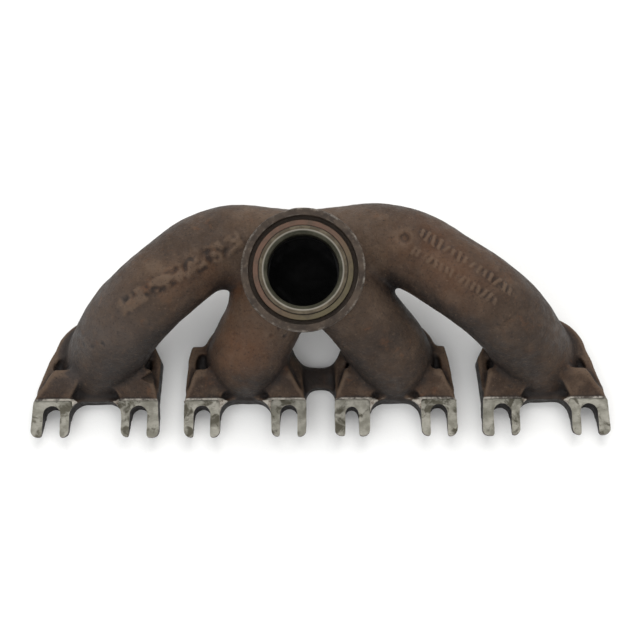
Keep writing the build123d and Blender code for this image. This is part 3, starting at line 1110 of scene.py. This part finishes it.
def turned_flange():
    """Turned iron gone brown, with painted shade in the groove, a pinkish collar and bright chipped
    edges.
    """
    paint = Paint("turned_flange", metallic=0.25, specular=0.35)
    radius = paint.attribute("radius_mm")
    depth = paint.attribute("depth_mm")
    cloudy = paint.band(paint.noise(0.012, 5), 0.35, 0.68)
    colour = paint.mix(cloudy, (0.022, 0.014, 0.009), (0.055, 0.038, 0.026))
    pale = paint.band(paint.noise(0.003, 4, 0.65), 0.52, 0.70, 0, 0.5)
    colour = paint.mix(pale, colour, (0.092, 0.068, 0.048))
    on_collar = paint.sum("MULTIPLY", paint.band(radius, 28.6, 28.2), paint.band(depth, 2.6, 1.9))
    across = paint.node("ShaderNodeSeparateXYZ", {0: paint.place}).outputs
    warm = paint.band(paint.sum("SUBTRACT", across[1], across[0]), 0.005, 0.055)
    collar = paint.mix(warm, (0.082, 0.068, 0.036), (0.098, 0.054, 0.036))
    collar = paint.mix(paint.band(paint.noise(0.005, 4), 0.45, 0.7, 0, 0.6), collar, (0.05, 0.038, 0.026))
    colour = paint.mix(on_collar, colour, collar)
    # Painted shade in the groove between the rim and the collar.
    shaded_groove = paint.sum("MULTIPLY", paint.band(radius, 31.1, 30.7), paint.band(depth, 2.2, 3.2))
    shaded_groove = paint.sum("MULTIPLY", shaded_groove, paint.band(radius, 27.9, 28.3, 0, 0.7))
    colour = paint.mix(shaded_groove, colour, (0.020, 0.013, 0.008))
    rim = paint.sum("MULTIPLY", paint.band(radius, 33.4, 34.6), paint.band(depth, 1.6, 0.5))
    lip = paint.sum("MULTIPLY", paint.band(radius, 31.6, 31.0), paint.band(depth, 0.9, 0.3))
    worn = paint.band(paint.noise(0.007, 6, 0.75), 0.46, 0.66)
    edge = paint.sum("MULTIPLY", paint.sum("MAXIMUM", rim, paint.sum("MULTIPLY", lip, 0.5)), worn)
    colour = paint.mix(paint.sum("MULTIPLY", edge, 0.38), colour, IRON)
    turning = paint.sum("MULTIPLY", paint.turning_marks(radius, 6.0), 0.5)
    height = paint.sum("ADD", turning, paint.noise(0.0012, 4, 0.65))
    roughness = paint.band(edge, 0, 1, 0.58, 0.38)
    return paint.finish(colour, roughness, paint.bump(height, 0.00022))


def seat_metal():
    """Turned seat ring: grey-green heat tint, a bright inner edge, dark turning lines and painted shade
    deeper in the bore.
    """
    paint = Paint("seat_metal", metallic=0.6)
    radius = paint.attribute("radius_mm")
    depth = paint.attribute("depth_mm")
    cloudy = paint.band(paint.noise(0.01, 4), 0.35, 0.65)
    base = paint.mix(cloudy, (0.034, 0.033, 0.020), (0.070, 0.066, 0.045))
    face = paint.sum("MULTIPLY", paint.band(radius, 22.6, 23.4), paint.band(depth, 1.9, 1.2))
    cloudy = paint.band(paint.noise(0.006, 4), 0.4, 0.65)
    tan = paint.mix(cloudy, (0.050, 0.038, 0.023), (0.095, 0.077, 0.050))
    colour = paint.mix(face, base, tan)
    lip = paint.sum("MULTIPLY", paint.band(radius, 21.9, 22.5), paint.band(radius, 23.3, 22.8))
    lip = paint.sum("MULTIPLY", lip, paint.band(depth, 1.9, 1.3))
    colour = paint.mix(paint.sum("MULTIPLY", lip, 0.35), colour, IRON)
    # Painted shade deeper in the bore.
    colour = paint.mix(paint.band(depth, 4.5, 10.0, 0, 0.85), colour, SOOT_AND_SHADE)
    joint = paint.sum("MULTIPLY", paint.band(radius, 24.6, 25.1), 0.85)
    colour = paint.mix(joint, colour, SOOT_AND_SHADE)
    height = paint.sum("ADD", paint.turning_marks(radius, 5.0), paint.noise(0.001, 3))
    return paint.finish(colour, 0.42, paint.bump(height, 0.00012))


for name, corners, wear, material, slot in (
    ("outlet_flange", FLANGE_CORNERS, flange_wear, turned_flange(), "turned_flange"),
    ("outlet_seat_ring", SEAT_CORNERS, seat_wear, seat_metal(), "seat_ring"),
):
    piece = turned_piece(name + "_turned", corners, wear)
    piece.data.materials.append(material)
    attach(piece, "root")
    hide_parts(name)

# ---- camera, light and floor --------------------------------------------------------------------
camera_data = bpy.data.cameras.new("camera")
camera_data.lens = 78.36
camera_data.sensor_width = 36.0
camera_data.clip_start = 0.01
camera_data.clip_end = 10.0
camera = bpy.data.objects.new("camera", camera_data)
bpy.context.scene.collection.objects.link(camera)
elevation = math.radians(74.0)
target = Vector((0.0, 25 * MM, lug_top_z))
back = Vector((0.0, -math.cos(elevation), math.sin(elevation)))
camera.location = target + back * 0.85
camera.rotation_mode = "QUATERNION"
roll = Quaternion((0, 0, 1), math.radians(-0.3))
camera.rotation_quaternion = (-back).to_track_quat("-Z", "Y") @ roll
bpy.context.scene.camera = camera


def area_light(name, location, aim, size, power, colour=(1, 1, 1)):
    """A square soft light aimed at a point."""
    data = bpy.data.lights.new(name, "AREA")
    data.size = size
    data.energy = power
    data.color = colour
    light = bpy.data.objects.new(name, data)
    light.location = location
    light.rotation_mode = "QUATERNION"
    light.rotation_quaternion = (Vector(aim) - Vector(location)).to_track_quat("-Z", "Y")
    bpy.context.scene.collection.objects.link(light)


area_light("key", (0.1, 0.75, 1.15), (0, 0.03, 0.04), 1.0, 8.0, (1.0, 0.985, 0.96))
area_light("fill", (-0.8, -0.35, 1.1), (0, 0.02, 0.03), 0.9, 2.5, (0.95, 0.98, 1.0))

world = bpy.data.worlds.new("studio")
bpy.context.scene.world = world
world.use_nodes = True
world.node_tree.nodes["Background"].inputs["Color"].default_value = (1, 1, 1, 1)
world.node_tree.nodes["Background"].inputs["Strength"].default_value = 1.05
bpy.context.scene.view_settings.view_transform = "Standard"

floor_half = 3.0
floor = prism(rectangle(-floor_half, floor_half, -floor_half, floor_half), -0.01, -0.0003, "floor")
floor_paint = Paint("floor_paper", specular=0.2)
floor_tone = floor_paint.mix(floor_paint.noise(0.3, 3), (0.88, 0.88, 0.87), (0.91, 0.91, 0.905))
floor_grain = floor_paint.bump(floor_paint.noise(0.002), 0.0001)
floor.data.materials.append(floor_paint.finish(floor_tone, 0.9, floor_grain))
